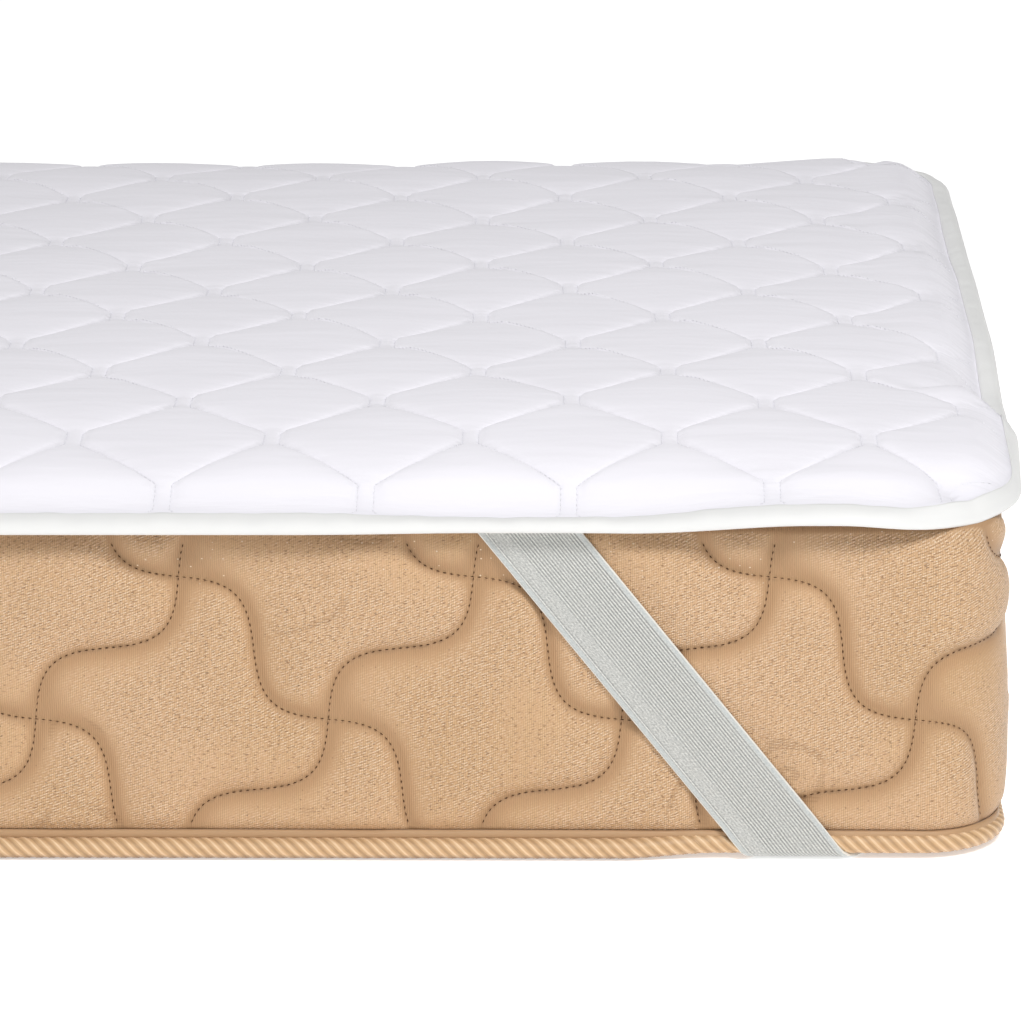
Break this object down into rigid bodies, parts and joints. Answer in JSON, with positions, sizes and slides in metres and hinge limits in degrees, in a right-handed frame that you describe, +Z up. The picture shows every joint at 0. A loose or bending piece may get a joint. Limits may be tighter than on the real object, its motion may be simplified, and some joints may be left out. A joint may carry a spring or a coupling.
{
  "type": "mattress protector on a mattress",
  "caption": "Thin quilted mattress pad with a bound edge and diagonal elastic corner straps, shown fitted on a plain single mattress.",
  "frame": {"origin": "centre of the mattress's underside, on the surface that it stands on", "axes": "+X along the mattress, +Y across it, +Z up"},
  "size_m": [2.0268, 0.8268, 0.204],
  "materials": {
    "quilted_cotton": "smooth bleached cotton over wadding, ogee quilting",
    "white_binding": "smooth folded cotton strip",
    "elastic_webbing": "ribbed woven elastic",
    "jacquard_ticking": "quilted jacquard ticking, slight sheen",
    "twisted_cord": "twisted piping cord"
  },
  "bodies": {
    "root": {"protector_panel": "quilted_cotton", "edge_binding": "white_binding", "strap_front_right": "elastic_webbing", "strap_front_left": "elastic_webbing", "strap_back_right": "elastic_webbing", "strap_back_left": "elastic_webbing", "mattress_body": "jacquard_ticking", "mattress_piping": "twisted_cord"}
  },
  "joints": []
}
